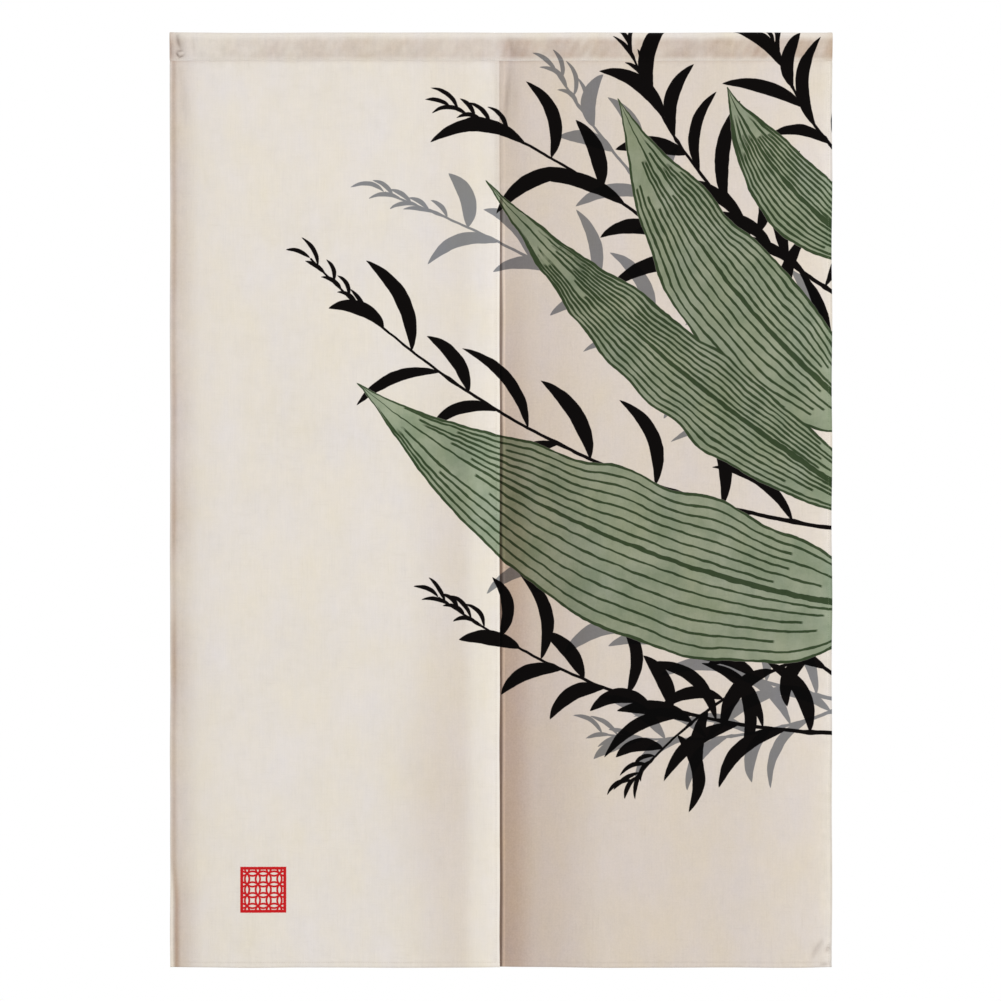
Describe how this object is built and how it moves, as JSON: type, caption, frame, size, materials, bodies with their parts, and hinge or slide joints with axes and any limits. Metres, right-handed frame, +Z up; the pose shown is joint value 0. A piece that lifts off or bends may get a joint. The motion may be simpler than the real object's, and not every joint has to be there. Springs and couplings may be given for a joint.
{
  "type": "noren curtain",
  "caption": "Hanging doorway curtain of plain-weave cloth: two hemmed panels with a slit between them, below a stitched rod pocket open at both ends.",
  "frame": {"origin": "middle of the rod pocket's crown, the line by which the curtain hangs", "axes": "+Z up, +X to the right as seen from the front, and the front faces -Y"},
  "size_m": [0.85, 0.0192, 1.2],
  "materials": {
    "cloth": "undyed cotton and linen plain weave, printed",
    "heading": "cotton and linen plain weave, mottled brown and grey",
    "thread": "matt sewing thread"
  },
  "bodies": {
    "root": {"panel_left": "cloth", "panel_right": "cloth", "rod_pocket": "heading"}
  },
  "joints": []
}
